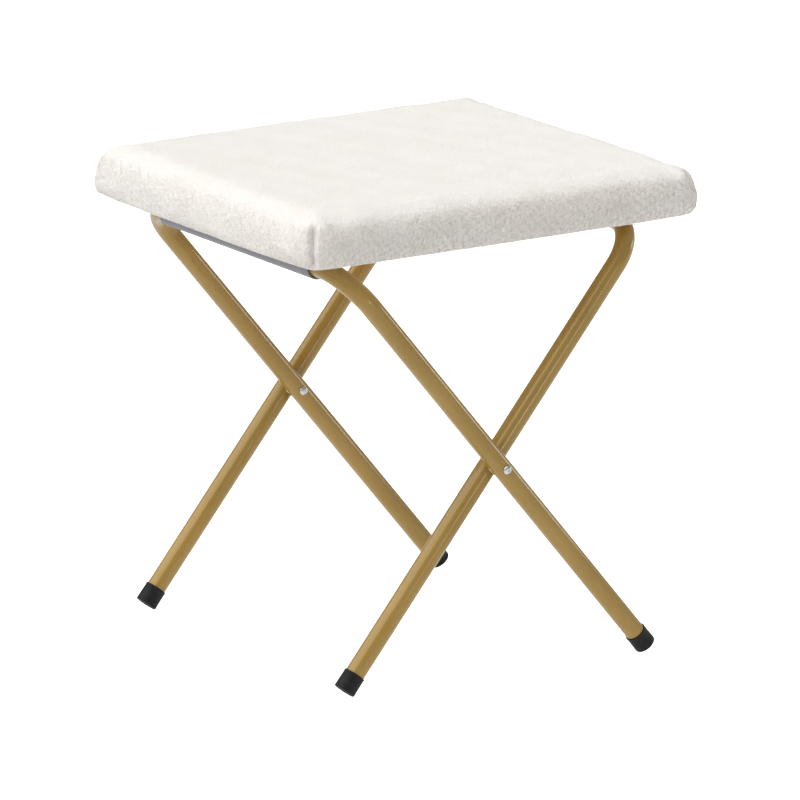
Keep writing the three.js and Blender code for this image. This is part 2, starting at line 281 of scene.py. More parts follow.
def foam():
    n = Nodes("foam")
    pores = n.cells(700)
    colour = n.ramp(pores, [(0.0, (0.55, 0.48, 0.30)), (0.6, (0.82, 0.76, 0.56))])
    n.set(Base_Color=colour, Roughness=0.95)
    n.bump(pores, 0.0005, 0.8)
    return n.material


def fleece(name, root_shade):
    """Cream plush: warm and cool patches, a painted shade where the tufts part, and a fibre sheen."""
    n = Nodes(name)
    patch = n.noise(11, 3)
    tuft = n.noise(560, 3, 0.6, distortion=0.8)
    pale = n.ramp(patch, [(0.38, (0.885, 0.853, 0.806)), (0.62, (0.89, 0.866, 0.828))])
    # Painted shade: the colour darkens where the tuft noise is low, as shade between the tufts where they
    # part; root_shade sets how deep.
    painted_tuft_shade = n.mix(n.spread(tuft, 0.3, 0.6, root_shade, 0), pale, (0.72, 0.67, 0.60))
    n.set(Base_Color=painted_tuft_shade, Roughness=0.9, Specular_IOR_Level=0.2)
    n.set(Sheen_Weight=0.3, Sheen_Roughness=0.55)
    n.bump(tuft, 0.001, 0.6)
    return n.material


PAINT = gold_paint()
RUBBER = black_rubber()
RIVET_STEEL = bright_steel("rivet_steel", (0.66, 0.67, 0.68), 0.2, 300)
SCREW_STEEL = bright_steel("screw_steel", (0.60, 0.61, 0.58), 0.3, 500)
CHANNEL_PAINT = grey_channel()
CLIP_NYLON = moulded("clip_nylon", (0.27, 0.28, 0.31), 0.45)
WASHER_NYLON = moulded("washer_nylon", (0.74, 0.73, 0.69), 0.4)
PLYWOOD = plywood()
FOAM = foam()
FLEECE_BACKING = fleece("fleece_backing", 0.4)
FLEECE_PILE = fleece("fleece_pile", 0.4)
# The long sides' copy of the pile, with a deeper painted shade between its tufts.
FLEECE_DEEP_SHADE = fleece("fleece_pile_deep_shade", 0.95)

# ---------------------------------------------------------------- mesh makers


def mesh_piece(name, points, faces, material, smooth=True):
    mesh = bpy.data.meshes.new(name)
    mesh.from_pydata([tuple(p) for p in points], [], [tuple(f) for f in faces])
    mesh.validate()
    mesh.shade_smooth() if smooth else mesh.shade_flat()
    mesh.materials.append(material)
    piece = bpy.data.objects.new(name, mesh)
    scene.collection.objects.link(piece)
    return piece


def finish_piece(piece, body, slot, *nodes):
    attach(piece, body)
    if nodes:
        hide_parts(*nodes)
    return piece


def grid_faces(rows, columns, wrap=True):
    """Quads between rings of points: rows rings of columns points each."""
    faces = []
    for i in range(rows - 1):
        for j in range(columns if wrap else columns - 1):
            a, b = i * columns + j, i * columns + (j + 1) % columns
            faces.append((a, b, b + columns, a + columns))
    return faces


def apply_modifiers(piece):
    graph = bpy.context.evaluated_depsgraph_get()
    shaped = bpy.data.meshes.new_from_object(piece.evaluated_get(graph))
    materials = list(piece.data.materials)
    piece.modifiers.clear()
    piece.data = shaped
    if not shaped.materials:
        for material in materials:
            shaped.materials.append(material)
    return piece


def rounded_edges(piece, width, segments=3, angle=35):
    bevel = piece.modifiers.new("edges", "BEVEL")
    bevel.width = width
    bevel.segments = segments
    bevel.limit_method = "ANGLE"
    bevel.angle_limit = math.radians(angle)
    bevel.harden_normals = False
    return apply_modifiers(piece)


def carve(piece, *cutters):
    """Cuts the other pieces out of this one and removes them."""
    for cutter in cutters:
        boolean = piece.modifiers.new("cut", "BOOLEAN")
        boolean.object = cutter
        boolean.operation = "DIFFERENCE"
        boolean.solver = "EXACT"
        apply_modifiers(piece)
        bpy.data.objects.remove(cutter)
    return piece


def smooth_by_angle(piece, angle=35):
    bm = bmesh.new()
    bm.from_mesh(piece.data)
    for face in bm.faces:
        face.smooth = True
    for edge in bm.edges:
        sharp = len(edge.link_faces) == 2 and edge.calc_face_angle(0) > math.radians(angle)
        edge.smooth = not sharp
    bm.to_mesh(piece.data)
    bm.free()
    return piece


def turned(name, profile, segments, material, thread=None):
    """A turned piece about +Z from (radius, height) points, from one pole to the other.

    thread is (first row, last row, depth, pitch): those rows take a helical ridge.
    """
    rings = [(r, z) for r, z in profile if r > 0]
    points = []
    for row, (r, z) in enumerate(rings):
        for k in range(segments):
            angle = 2 * math.pi * k / segments
            reach = r
            if thread and thread[0] <= row <= thread[1]:
                phase = (z / thread[3] - angle / (2 * math.pi)) % 1
                reach += thread[2] * max(0, 1 - abs(phase - 0.5) * 4)
            points.append((reach * math.cos(angle), reach * math.sin(angle), z))
    faces = grid_faces(len(rings), segments)
    if profile[0][0] == 0:
        points.append((0, 0, profile[0][1]))
        pole = len(points) - 1
        faces += [(pole, (k + 1) % segments, k) for k in range(segments)]
    if profile[-1][0] == 0:
        points.append((0, 0, profile[-1][1]))
        pole = len(points) - 1
        top = (len(rings) - 1) * segments
        faces += [(pole, top + k, top + (k + 1) % segments) for k in range(segments)]
    if profile[0] == profile[-1]:
        last = (len(rings) - 1) * segments
        faces = [tuple(i % last if i >= last else i for i in f) for f in faces]
        points = points[:last]
    return mesh_piece(name, points, faces, material)


def arc(centre, radius, start, end, steps):
    """Points (radius, height) round a corner, angles in degrees."""
    turn = [math.radians(start + (end - start) * i / steps) for i in range(steps + 1)]
    return [(centre[0] + radius * math.cos(a), centre[1] + radius * math.sin(a)) for a in turn]


def stand_along(piece, direction, origin):
    """Bakes a turn of the piece's +Z onto direction, and a move to origin, into its mesh."""
    turn = Vector((0, 0, 1)).rotation_difference(direction).to_matrix().to_4x4()
    piece.data.transform(Matrix.Translation(origin) @ turn)
    return piece


# ---------------------------------------------------------------- tube frames


def leg_centres(tube_node):
    low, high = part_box(tube_node)
    return low.y + TUBE_RADIUS, high.y - TUBE_RADIUS


def cap_radius():
    low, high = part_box("hinged_foot_cap_near")
    return (high.y - low.y) / 2


def frame_stations(up, near, far, tube_end):
    """The centre line's points, each with how strongly it is bent: 0 on a straight, 1 in mid-bend."""
    bend_start = upper_length - BEND_RADIUS
    straight_end = bend_start - 3 * MM
    steps = 26
    points = [(near, -tube_end, 0.0), (near, 0, 0.0), (near, straight_end, 0.0)]
    for centre_y, first in ((near + BEND_RADIUS, 180), (far - BEND_RADIUS, 90)):
        for i in range(steps + 1):
            angle = math.radians(first - 90 * i / steps)
            y = centre_y + BEND_RADIUS * math.cos(angle)
            s = bend_start + BEND_RADIUS * math.sin(angle)
            points.append((y, s, math.sin(math.pi * i / steps)))
        if first == 180:
            points.append(((near + far) / 2, upper_length, 0.0))
    points += [(far, straight_end, 0.0), (far, 0, 0.0), (far, -tube_end, 0.0)]
    origin = Vector((crossing.x, 0, crossing.z))
    return [(origin + up * s + Vector((0, y, 0)), bent) for y, s, bent in points]


def tube_frame(name, up, node, body):
    """A U of round tube: a hair flattened through its bends, and plain at its hidden ends."""
    sides = 44
    flattening = 0.03
    near, far = leg_centres(node)
    tube_end = LOWER - CAP_FLOOR
    stations = frame_stations(up, near, far, tube_end)
    across = Vector((0, 1, 0)).cross(up).normalized()
    points = []
    for i, (place, bent) in enumerate(stations):
        before = stations[max(i - 1, 0)][0]
        after = stations[min(i + 1, len(stations) - 1)][0]
        along = after - before
        if 0 < i < len(stations) - 1:
            along = (place - before).normalized() + (after - place).normalized()
        inward = across.cross(along.normalized())
        for k in range(sides):
            angle = 2 * math.pi * k / sides
            wide = TUBE_RADIUS * (1 + 0.5 * flattening * bent)
            thin = TUBE_RADIUS * (1 - flattening * bent)
            points.append(place + across * wide * math.cos(angle) + inward * thin * math.sin(angle))
    faces = grid_faces(len(stations), sides)
    first_end = tuple(range(sides))[::-1]
    last_end = tuple(range((len(stations) - 1) * sides, len(stations) * sides))
    piece = mesh_piece(name, points, faces + [first_end, last_end], PAINT)
    smooth_by_angle(piece, 50)
    return finish_piece(piece, body, "gold_paint", node)


CAP_RADIUS = cap_radius()
# From the crossing to the cap's flat end, when the cap's lowest edge is on the floor.
LOWER = (crossing.z - CAP_RADIUS * math.sqrt(1 - up_hinged.z**2)) / up_hinged.z

tube_frame("hinged_tube", up_hinged, "hinged_leg_tube", "hinged_frame")
tube_frame("clipped_tube", up_clipped, "clipped_leg_tube", "clipped_frame")


def foot_cap(name, up, y, node, body):
    """A moulded rubber cap: a ribbed tread, a rounded rim, a slight taper and a thin lip on the tube."""
    length = 18.5 * MM
    rim = 1.1 * MM
    mouth = TUBE_RADIUS + 0.05 * MM
    profile = [(0, 0.5 * MM)]
    for ring in (2.4, 4.6, 6.8):
        groove = [(ring, 0.5), (ring + 0.25, 0.0), (ring + 1.25, 0.0), (ring + 1.5, 0.5)]
        profile += [(r * MM, z * MM) for r, z in groove]
    profile += [((CAP_RADIUS - rim - 0.7 * MM), 0.5 * MM), (CAP_RADIUS - rim - 0.4 * MM, 0)]
    profile += arc((CAP_RADIUS - rim, rim), rim, -90, 0, 6)
    profile += [(CAP_RADIUS - 0.15 * MM, 0.5 * length)]
    profile += [(CAP_RADIUS - 0.25 * MM, length - 1.6 * MM), (CAP_RADIUS, length - 1.2 * MM)]
    profile += arc((CAP_RADIUS - 0.5 * MM, length - 0.5 * MM), 0.5 * MM, 0, 90, 4)
    profile += [(mouth, length), (mouth, CAP_FLOOR), (0, CAP_FLOOR)]
    cap = turned(name, profile, 56, RUBBER)
    smooth_by_angle(cap, 40)
    stand_along(cap, up, crossing + Vector((0, y - crossing.y, 0)) - up * LOWER)
    return finish_piece(cap, body, "rubber", node)


for body, up in (("hinged", up_hinged), ("clipped", up_clipped)):
    for side, y in zip(("near", "far"), leg_centres(f"{body}_leg_tube")):
        foot_cap(f"{body}_cap_{side}", up, y, f"{body}_foot_cap_{side}", f"{body}_frame")


def pivot_rivet(side):
    """A rivet along Y: a domed head with a small dimple to -Y, and a rolled tail to +Y."""
    low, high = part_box(f"pivot_rivet_{side}")
    head_radius, head_height = 4.25 * MM, 2.5 * MM
    tail_radius, tail_height = 4 * MM, 2 * MM
    shank = 3 * MM
    bottom, top = low.y + head_height, high.y - tail_height
    middle = (low.y + high.y) / 2
    dome = [(head_radius * math.cos(a), -head_height * math.sin(a) ** 1.1)
            for a in (math.radians(d) for d in range(0, 76, 5))]
    outer = [(r, bottom - middle + z) for r, z in dome][::-1]
    crest = outer[0][1]
    dimple = [(0, crest + 0.55 * MM), (0.5 * MM, crest + 0.45 * MM), (0.95 * MM, crest + 0.05 * MM)]
    profile = dimple + outer + [(shank, bottom - middle), (shank, top - middle)]
    roll = [(tail_radius * math.cos(a), top - middle + tail_height * math.sin(a))
            for a in (math.radians(d) for d in range(0, 91, 10))]
    profile += [(r, z) for r, z in roll if r > 1.6 * MM]
    profile += [(1.3 * MM, top - middle + 0.8 * tail_height), (0, top - middle + 0.45 * tail_height)]
    rivet = turned(f"rivet_{side}", profile, 40, RIVET_STEEL)
    smooth_by_angle(rivet, 50)
    stand_along(rivet, Vector((0, 1, 0)), Vector((crossing.x, middle, crossing.z)))
    return finish_piece(rivet, "hinged_frame", "rivet_steel", f"pivot_rivet_{side}")


def pivot_washer(side):
    low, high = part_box(f"pivot_washer_{side}")
    middle, half = (low.y + high.y) / 2, (high.y - low.y) / 2
    inner, outer, round_off = 3.4 * MM, 7.5 * MM, 0.35 * MM
    profile = arc((inner + round_off, -half + round_off), round_off, 180, 270, 3)
    profile += arc((outer - round_off, -half + round_off), round_off, -90, 0, 3)
    profile += arc((outer - round_off, half - round_off), round_off, 0, 90, 3)
    profile += arc((inner + round_off, half - round_off), round_off, 90, 180, 3)
    washer = turned(f"washer_{side}", profile + profile[:1], 44, WASHER_NYLON)
    stand_along(washer, Vector((0, 1, 0)), Vector((crossing.x, middle, crossing.z)))
    return finish_piece(washer, "hinged_frame", "washer_nylon", f"pivot_washer_{side}")


for side in ("near", "far"):
    pivot_rivet(side)
    pivot_washer(side)

# ---------------------------------------------------------------- hardware under the seat


def drawn_profile(name, profile, near, far, material):
    """A closed profile of (x, z) points drawn along Y."""
    count = len(profile)
    points = [(x, y, z) for y in (near, far) for x, z in profile]
    faces = [(i, (i + 1) % count, count + (i + 1) % count, count + i) for i in range(count)]
    faces += [tuple(range(count))[::-1], tuple(range(count, 2 * count))]
    piece = mesh_piece(name, points, faces, material)
    bm = bmesh.new()
    bm.from_mesh(piece.data)
    bmesh.ops.recalc_face_normals(bm, faces=bm.faces)
    bm.to_mesh(piece.data)
    bm.free()
    return piece


def screw_hole(place, radius=2.3 * MM, depth=6 * MM):
    profile = [(0, -depth), (radius, -depth), (radius, depth), (0, depth)]
    return stand_along(turned("hole", profile, 28, SCREW_STEEL), Vector((0, 0, 1)), place)


def centre(node):
    low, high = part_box(node)
    return (low + high) / 2


def hinge_channel():
    """A strip bent round the hinged bar, from a flange screwed to the board. It is open towards +X."""
    low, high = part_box("hinge_channel")
    inner, outer = 10.2 * MM, 11.7 * MM
    bar = (hinged_bar.x, hinged_bar.z)
    flange = high.x
    lip = 315
    profile = [(flange, bar[1] + inner), (flange, bar[1] + outer)]
    profile += arc(bar, outer, 90, lip, 54)
    profile += arc(bar, inner, lip, 90, 54)
    channel = drawn_profile("channel", profile, low.y, high.y, CHANNEL_PAINT)
    holes = [screw_hole(centre(f"channel_screw_{i}")) for i in range(1, 6)]
    carve(channel, *holes)
    rounded_edges(channel, 0.35 * MM, 2, 50)
    smooth_by_angle(channel, 30)
    return finish_piece(channel, "seat", "channel_steel", "hinge_channel")


def bar_clip(side):
    """A moulded C clip with flared lips and a rib along its back."""
    low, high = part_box(f"bar_clip_{side}")
    inner, outer = 9.9 * MM, 11.7 * MM
    bar = (clipped_bar.x, clipped_bar.z)
    lips = (220, -40)
    profile = [(low.x, bar[1] + outer), (low.x, bar[1] + inner), (bar[0] - outer, bar[1] + inner)]
    profile += arc(bar, outer, 180, lips[0], 8)
    profile += arc(bar, inner, lips[0], lips[1], 56)
    profile += arc(bar, outer, lips[1], 90, 30)
    clip = drawn_profile(f"clip_{side}", profile, low.y, high.y, CLIP_NYLON)
    carve(clip, *[screw_hole(centre(f"clip_screw_{side}_{i}")) for i in (1, 2)])
    rounded_edges(clip, 0.4 * MM, 2, 50)
    smooth_by_angle(clip, 30)
    return finish_piece(clip, "seat", "clip_nylon", f"bar_clip_{side}")


def wood_screw_mesh(height):
    """A pan-head screw, head down, with a cross recess and a coarse thread. Its origin is its middle."""
    head_radius, head_height, shank = 4 * MM, 2 * MM, 1.45 * MM
    bottom = -height / 2
    dome = [(head_radius * math.cos(a), bottom + head_height * (1 - math.sin(a) ** 0.9))
            for a in (math.radians(d) for d in range(0, 91, 9))][::-1]
    dome[0] = (0, bottom)
    profile = dome + [(shank, bottom + head_height)]
    first = len([p for p in profile if p[0] > 0])
    turns = 90
    tip = height / 2 - 2.2 * MM
    start = bottom + head_height + 0.4 * MM
    profile += [(shank, start + (tip - start) * i / turns) for i in range(turns + 1)]
    profile += [(0.5 * MM, height / 2 - 0.6 * MM), (0, height / 2)]
    screw = turned("screw", profile, 30, SCREW_STEEL, (first, first + turns, 0.35 * MM, 1.5 * MM))
    for turn in (0, math.pi / 2):
        slot_box = [(x * 2.1 * MM, y * 0.45 * MM, z) for z in (bottom - 1 * MM, bottom + 1.3 * MM)
                    for x, y in ((-1, -1), (1, -1), (1, 1), (-1, 1))]
        faces = [(3, 2, 1, 0), (4, 5, 6, 7), (0, 1, 5, 4), (1, 2, 6, 5), (2, 3, 7, 6), (3, 0, 4, 7)]
        cutter = mesh_piece("recess", slot_box, faces, SCREW_STEEL)
        cutter.data.transform(Matrix.Rotation(turn, 4, "Z"))
        carve(screw, cutter)
    smooth_by_angle(screw, 35)
    mesh = screw.data
    bpy.data.objects.remove(screw)
    return mesh


def wood_screws(nodes):
    low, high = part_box(nodes[0])
    mesh = wood_screw_mesh(high.z - low.z)
    for i, node in enumerate(nodes):
        screw = bpy.data.objects.new(node.replace("screw", "wood_screw"), mesh.copy())
        screw.data.transform(Matrix.Rotation(1.1 * i, 4, "Z"))
        screw.data.transform(Matrix.Translation(centre(node)))
        scene.collection.objects.link(screw)
        finish_piece(screw, "seat", "screw_steel", node)


hinge_channel()
bar_clip("near")
bar_clip("far")
wood_screws([f"channel_screw_{i}" for i in range(1, 6)])
wood_screws([f"clip_screw_{side}_{i}" for side in ("near", "far") for i in (1, 2)])

for node, material in (("seat_board", PLYWOOD), ("foam_pad", FOAM)):
    data = frame["nodes"][node].data
    data.materials.clear()
    data.materials.append(material)

# ---------------------------------------------------------------- fleece cover

SKIN_INSET = 1.2 * MM  # from the CAD cover's sides to the skin before it swells
SKIN_SPACING = 4 * MM
PLAN_CORNER = 30 * MM  # the skin's corners in plan
TOP_EDGE = 25 * MM  # the round of its upper edge
BOTTOM_EDGE = 15 * MM
HEM_INSET = 35.8 * MM  # from the skin's side to the hem's inner edge
PAD_CORNER = 22 * MM  # the pad's plan corners
PAD_EDGE = 18 * MM  # round the pad's top
LINING_GAP = 0.15 * MM
STRANDS = 66000  # in each piece of the pile


def lattice_box(low, high, spacing):
    """A box of square cells: its points, and quads that face out."""
    size = high - low
    counts = [max(2, round(s / spacing)) for s in size]
    index, points, faces = {}, [], []

    def point(i, j, k):
        key = (i, j, k)
        if key not in index:
            index[key] = len(points)
            points.append([low[a] + size[a] * key[a] / counts[a] for a in range(3)])
        return index[key]

    for axis in range(3):
        u, v = (axis + 1) % 3, (axis + 2) % 3
        for end in (0, counts[axis]):
            for i in range(counts[u]):
                for j in range(counts[v]):
                    corners = []
                    for du, dv in ((0, 0), (1, 0), (1, 1), (0, 1)):
                        key = [0, 0, 0]
                        key[axis], key[u], key[v] = end, i + du, j + dv
                        corners.append(point(*key))
                    faces.append(tuple(corners if end else corners[::-1]))
    return np.array(points), faces


def round_vertical_edges(points, low, high, radius):
    """Turns the square plan corners into quarter circles and keeps the cells even."""
    middle, half = (low + high) / 2, (high - low) / 2
    local = points[:, :2] - middle[:2]
    sign = np.sign(local)
    past = np.clip((np.abs(local) - (half[:2] - radius)) / radius, 0, None)
    u, v = past[:, 0], past[:, 1]
    inside = np.minimum(np.abs(local), half[:2] - radius)
    turned_uv = np.stack([u * np.sqrt(1 - v**2 / 2), v * np.sqrt(1 - u**2 / 2)], 1)
    points[:, :2] = middle[:2] + sign * (inside + radius * turned_uv)
    return points


def round_level_edges(points, low, high, top_radius, bottom_radius):
    """Rounds the edges round the top and the bottom of the box."""
    top = (top_radius, high[2] - top_radius, 1)
    bottom = (bottom_radius, low[2] + bottom_radius, -1)
    for radius, level, upward in (top, bottom):
        near = (points[:, 2] - level) * upward >= 0
        core_low = np.array([low[0] + radius, low[1] + radius, level])
        core_high = np.array([high[0] - radius, high[1] - radius, level])
        core = np.clip(points[near], core_low, core_high)
        off = points[near] - core
        length = np.linalg.norm(off, axis=1, keepdims=True)
        points[near] = core + off * np.where(length > 0, radius / np.maximum(length, 1e-9), 0)
    return points


def swirl(points, pitch, seed):
    """A smooth vector field in space, from a few seeded waves. Its parts stay within about -1 to 1."""
    rng = np.random.default_rng(seed)
    field = np.zeros_like(points)
    waves = 9
    for _ in range(waves):
        direction = rng.normal(size=3)
        direction /= np.linalg.norm(direction)
        phase = rng.uniform(0, 2 * math.pi, 3)
        length = pitch * rng.uniform(0.7, 1.5)
        angle = (points @ direction)[:, None] * 2 * math.pi / length + phase
        field += np.sin(angle)
    return field / waves**0.5


def vertex_points(mesh):
    co = np.empty(len(mesh.vertices) * 3)
    mesh.vertices.foreach_get("co", co)
    return co.reshape(-1, 3)


def vertex_normals(mesh):
    no = np.empty(len(mesh.vertices) * 3, np.float32)
    mesh.vertex_normals.foreach_get("vector", no)
    return no.reshape(-1, 3).astype(float)


def set_points(mesh, points):
    mesh.vertices.foreach_set("co", points.astype(np.float32).ravel())
    mesh.update()


def seam_distance(points, low, high):
    """How far each point is from the nearest vertical corner seam, in plan, and how strongly it counts.

    The seams run up each rounded corner and fade out over the top edge.
    """
    middle, half = (low + high) / 2, (high - low) / 2
    corner = half[:2] - PLAN_CORNER
    local = np.abs(points[:, :2] - middle[:2]) - corner
    off = np.abs(local[:, 0] - local[:, 1]) / math.sqrt(2)
    in_corner = (local.min(1) > 0).astype(float)
    fade = np.clip((high[2] - points[:, 2]) / (9 * MM), 0, 1)
    outside = np.clip((local.max(1) - 0.35 * PLAN_CORNER) / (0.2 * PLAN_CORNER), 0, 1)
    return off, in_corner * fade * outside


def swell(piece, held, pressure, most):
    """Blows the cover up like stuffed cloth. The held points stay, and no point moves more than most."""
    before = vertex_points(piece.data)
    pins = piece.vertex_groups.new(name="held")
    pins.add([int(i) for i in np.flatnonzero(held)], 1.0, "REPLACE")
    cloth = piece.modifiers.new("swell", "CLOTH")
    settings = cloth.settings
    settings.quality = 5
    settings.mass = 0.35
    settings.tension_stiffness = 12
    settings.compression_stiffness = 12
    settings.bending_stiffness = 1.5
    settings.use_pressure = True
    settings.uniform_pressure_force = pressure
    settings.vertex_group_mass = "held"
    settings.effector_weights.gravity = 0
    cloth.collision_settings.use_collision = False
    cloth.collision_settings.use_self_collision = False
    cloth.point_cache.frame_start = 1
    cloth.point_cache.frame_end = 20
    for step in range(1, 21):
        scene.frame_set(step)
    graph = bpy.context.evaluated_depsgraph_get()
    after = vertex_points(piece.evaluated_get(graph).data)
    piece.modifiers.remove(cloth)
    piece.vertex_groups.remove(pins)
    scene.frame_set(1)
    move = after - before
    length = np.linalg.norm(move, axis=1, keepdims=True)
    capped = most * np.tanh(length / most)
    set_points(piece.data, before + move * capped / np.maximum(length, 1e-9))


def open_underside(piece, low, high):
    """Takes out the cells of the underside that the hem doesn't cover."""
    bm = bmesh.new()
    bm.from_mesh(piece.data)
    doomed = []
    for face in bm.faces:
        c = face.calc_center_median()
        inner_x = low[0] + HEM_INSET < c.x < high[0] - HEM_INSET
        inner_y = low[1] + HEM_INSET < c.y < high[1] - HEM_INSET
        if inner_x and inner_y and c.z < low[2] + 1 * MM:
            doomed.append(face)
    bmesh.ops.delete(bm, geom=doomed, context="FACES")
    bm.to_mesh(piece.data)
    bm.free()


def out_to_outline(x, y, half_x, half_y, radius):
    """Where the ray from the middle through (x, y) crosses a rounded rectangle."""
    grow = min(half_x / max(abs(x), 1e-9), half_y / max(abs(y), 1e-9))
    edge_x, edge_y = abs(x) * grow, abs(y) * grow
    core_x, core_y = half_x - radius, half_y - radius
    if edge_x > core_x and edge_y > core_y:
        along = edge_x * core_x + edge_y * core_y
        square = edge_x**2 + edge_y**2
        root = math.sqrt(along**2 - square * (core_x**2 + core_y**2 - radius**2))
        grow *= (along + root) / square
    return x * grow, y * grow


def lining(piece, pad_low, pad_high):
    """Closes the cover with its inside: from the hem's inner edge, up round the board and over the pad."""
    bm = bmesh.new()
    bm.from_mesh(piece.data)
    middle = (pad_low + pad_high) / 2
    half = (pad_high - pad_low) / 2 + Vector((LINING_GAP, LINING_GAP, 0))
    floor_z, top_z = pad_low.z - LINING_GAP, pad_high.z + LINING_GAP

    def ring(edges, move):
        made = bmesh.ops.extrude_edge_only(bm, edges=edges)["geom"]
        for v in (g for g in made if isinstance(g, bmesh.types.BMVert)):
            v.co = move(v.co)
        return [g for g in made if isinstance(g, bmesh.types.BMEdge)]

    def onto_wall(inset, z):
        def move(co):
            x, y = out_to_outline(
                co.x - middle.x, co.y - middle.y, half.x - inset, half.y - inset, PAD_CORNER - inset
            )
            return Vector((middle.x + x, middle.y + y, z))
        return move

    edges = ring([e for e in bm.edges if e.is_boundary], lambda co: Vector((co.x, co.y, floor_z)))
    edges = ring(edges, onto_wall(0, floor_z))
    for step in range(5):
        turn = math.radians(90 * step / 4)
        inset = PAD_EDGE * (1 - math.cos(turn))
        edges = ring(edges, onto_wall(inset, top_z - PAD_EDGE * (1 - math.sin(turn))))
    bmesh.ops.contextual_create(bm, geom=edges)
    bmesh.ops.recalc_face_normals(bm, faces=bm.faces)
    bm.to_mesh(piece.data)
    bm.free()


def fleece_skin():
    """The cover's backing with its tufted surface, swollen over the pad from its held hem, with grooves at
    its corner seams.
    """
    low = np.array(seat_low) + np.array([SKIN_INSET, SKIN_INSET, 0.1 * MM])
    high = np.array(seat_high) - SKIN_INSET
    points, faces = lattice_box(low, high, SKIN_SPACING)
    points = round_level_edges(points, low, high, TOP_EDGE, BOTTOM_EDGE)
    points = round_vertical_edges(points, low, high, PLAN_CORNER)
    skin = mesh_piece("fleece_skin", points, faces, FLEECE_BACKING)
    held = points[:, 2] < low[2] + 1 * MM
    swell(skin, held, pressure=4.0, most=3 * MM)
    open_underside(skin, low, high)
    bm = bmesh.new()
    bm.from_mesh(skin.data)
    bmesh.ops.delete(bm, geom=[v for v in bm.verts if not v.link_faces], context="VERTS")
    bm.to_mesh(skin.data)
    bm.free()
    eased = skin.modifiers.new("eased", "SMOOTH")
    eased.factor = 0.5
    eased.iterations = 5
    finer = skin.modifiers.new("finer", "SUBSURF")
    finer.levels = finer.render_levels = 1
    apply_modifiers(skin)
    skin.data.shade_smooth()

    points, normals = vertex_points(skin.data), vertex_normals(skin.data)
    under = np.clip((points[:, 2] - low[2] - 0.5 * MM) / (4 * MM), 0, 1)
    off, weight = seam_distance(points, low, high)
    groove = 4.6 * MM * np.exp(-((off / (2.5 * MM)) ** 2)) * weight
    puff = 0.6 * MM * np.exp(-(((off - 7 * MM) / (4 * MM)) ** 2)) * weight
    upright = np.clip(1.2 - np.abs(normals[:, 2]), 0.25, 1)
    waves = 0.5 * MM * swirl(points, 55 * MM, 3)[:, 0]
    clumps = 0.1 * MM * swirl(points, 8 * MM, 5)[:, 1] + 0.1 * MM * swirl(points, 5 * MM, 6)[:, 2]
    clumps *= 1.6 - np.abs(normals[:, 0])
    rise = (waves + clumps * upright) * under - (groove - puff) * under
    points += normals * rise[:, None]
    points[:, 2] = np.maximum(points[:, 2], seat_low.z)
    set_points(skin.data, points)
    return skin, low, high


def scattered_roots(mesh, count, share_of, rng):
    """Random places on a mesh, spread by area times share_of(normal): their points and unit normals."""
    mesh.calc_loop_triangles()
    corners = np.empty(len(mesh.loop_triangles) * 3, np.int32)
    mesh.loop_triangles.foreach_get("vertices", corners)
    corners = corners.reshape(-1, 3)
    co, no = vertex_points(mesh), vertex_normals(mesh)
    a, b, c = (co[corners[:, i]] for i in range(3))
    area = np.linalg.norm(np.cross(b - a, c - a), axis=1) / 2
    area *= share_of(no[corners].mean(1))
    chosen = rng.choice(len(area), count, p=area / area.sum())
    share = rng.dirichlet((1, 1, 1), count)
    root = np.einsum("ij,ijk->ik", share, co[corners[chosen]])
    normal = np.einsum("ij,ijk->ik", share, no[corners[chosen]])
    return root, unit(normal)


def unit(vectors):
    return vectors / np.maximum(np.linalg.norm(vectors, axis=1, keepdims=True), 1e-9)


def fleece_pile(name, material, skin, low, high, count, share_of, seed, rise, curl):
    """Tapered fibres lying over the skin, brushed along one drift and curled in small whorls.

    rise is how far the tips stand off the skin, and curl is how strongly the fibres wander.
    """
    rng = np.random.default_rng(seed)
    root, normal = scattered_roots(skin.data, count, share_of, rng)

    def tangent(vectors):
        return vectors - normal * np.einsum("ij,ij->i", vectors, normal)[:, None]

    drift = tangent(0.6 * swirl(root, 42 * MM, 21) + curl * swirl(root, 4 * MM, 22))
    whorl = np.cross(drift, normal)
    stray = tangent(rng.normal(size=root.shape))
    lean = unit(drift + (0.25 + 0.3 * curl) * stray)
    turn = unit(lean + curl * rng.uniform(-1, 1, (count, 1)) * whorl + 0.3 * stray)
    length = rng.uniform(1.7, 2.8, (count, 1)) * MM
    off, weight = seam_distance(root, low, high)
    length *= (1 - 0.4 * weight * np.exp(-((off / (3 * MM)) ** 2)))[:, None]
    height = rise * rng.uniform(0.45, 1, (count, 1))
    middle = root + lean * length * 0.45 + normal * height * 0.75
    tip = middle + turn * length * 0.55 + normal * height * 0.25
    along = unit(tip - root)
    twist = 0.3 * curl * rng.normal(size=(count, 1))
    wide = unit(np.cross(along, normal) + normal * twist)
    wide *= rng.uniform(0.11, 0.17, (count, 1)) * MM
    foot = root - normal * 0.3 * MM
    strands = np.stack([foot - wide, foot + wide, middle + 0.85 * wide, middle - 0.85 * wide, tip], 1)
    strands[:, :, 2] = np.maximum(strands[:, :, 2], seat_low.z - 0.9 * MM)
    first_point = np.arange(count) * 5
    quads = np.stack([first_point + i for i in (0, 1, 2, 3)], 1)
    tips = np.stack([first_point + i for i in (3, 2, 4)], 1)
    pile = mesh_piece(name, strands.reshape(-1, 3), quads.tolist() + tips.tolist(), material)
    return finish_piece(pile, "seat", "fleece")


skin, skin_low, skin_high = fleece_skin()


def top_share(normal):
    """How thickly the top's pile grows, from the skin's normals. The other shares are alike."""
    return np.clip(normal[:, 2] - 0.45, 0, 0.3)


def side_share(normal):
    return np.clip(0.85 - normal[:, 2], 0, 0.3) * (normal[:, 2] > -0.85)


def end_share(normal):
    return side_share(normal) * (np.abs(normal[:, 0]) > np.abs(normal[:, 1]))


def long_side_share(normal):
    return side_share(normal) * (np.abs(normal[:, 0]) <= np.abs(normal[:, 1]))


